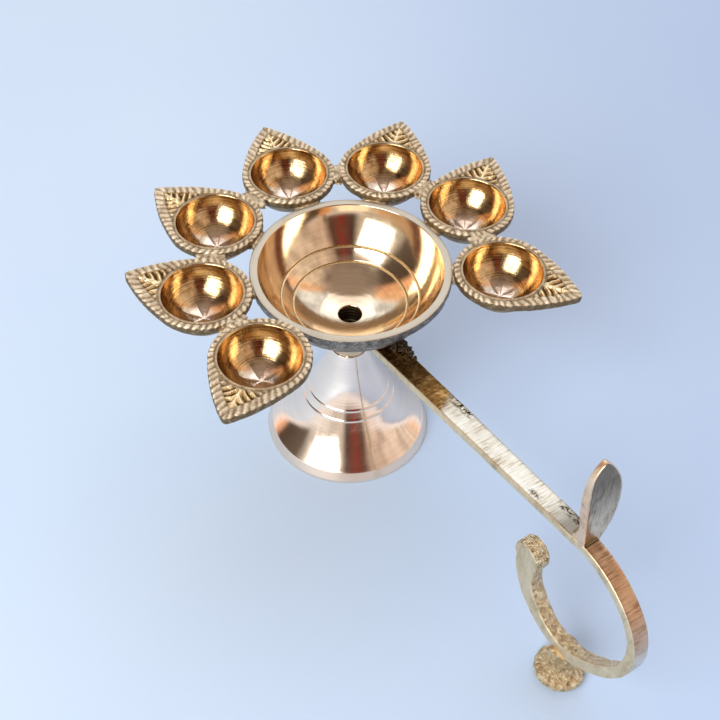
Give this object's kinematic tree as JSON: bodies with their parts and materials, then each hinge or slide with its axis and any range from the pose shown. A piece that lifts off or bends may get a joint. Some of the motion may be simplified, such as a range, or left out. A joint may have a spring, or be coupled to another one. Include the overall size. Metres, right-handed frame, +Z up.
{
  "type": "seven-wick hand lamp",
  "caption": "Cast brass hand lamp: oil bowl on a bell foot, ringed by leaf-shaped wick cups, with a flat handle ending in a finger curl, thumb leaf and rest pad.",
  "frame": {"origin": "on the rest plane, under the axis of the foot and bowl", "axes": "+Z up along the lamp's axis, +X along the handle towards the finger curl"},
  "size_m": [0.2318, 0.1438, 0.1112],
  "materials": {
    "polished_foot": "mirror polished, pale rose gold",
    "polished_bowl": "mirror polished inside, satin rim, dark cast outside",
    "leaf_brass": "rough sand-cast face, polished well",
    "cast_brass": "rough sand-cast",
    "handle_brass": "filed and brushed, heat-tinted near the bowl",
    "stud_brass": "threaded, dull",
    "braze": "rough dark filler"
  },
  "bodies": {
    "foot": {"bell_foot": "polished_foot"},
    "stud": {"joining_stud": "stud_brass"},
    "head": {"oil_bowl": "polished_bowl", "leaf_cup_1": "leaf_brass", "leaf_cup_2": "leaf_brass", "leaf_cup_3": "leaf_brass", "leaf_cup_4": "leaf_brass", "leaf_cup_5": "leaf_brass", "leaf_cup_6": "leaf_brass", "leaf_cup_7": "leaf_brass", "leaf_brazes": "braze", "rim_brazes": "braze", "handle_bar": "handle_brass", "thumb_leaf": "handle_brass", "rest_pad": "cast_brass", "handle_braze": "braze"}
  },
  "joints": [
    {"name": "head_turn", "type": "hinge", "parent": "foot", "child": "stud", "pos_m": [0, 0, 0.04295], "axis": [0, 0, 1], "range_deg": [0, 1530]},
    {"name": "head_lift", "type": "slide", "parent": "stud", "child": "head", "axis": [0, 0, 1], "range_m": [0, 0.0065]}
  ],
  "couplings": [
    {"joint": "head_lift", "follows": "head_turn", "m_per_rad": 0.00023873}
  ]
}
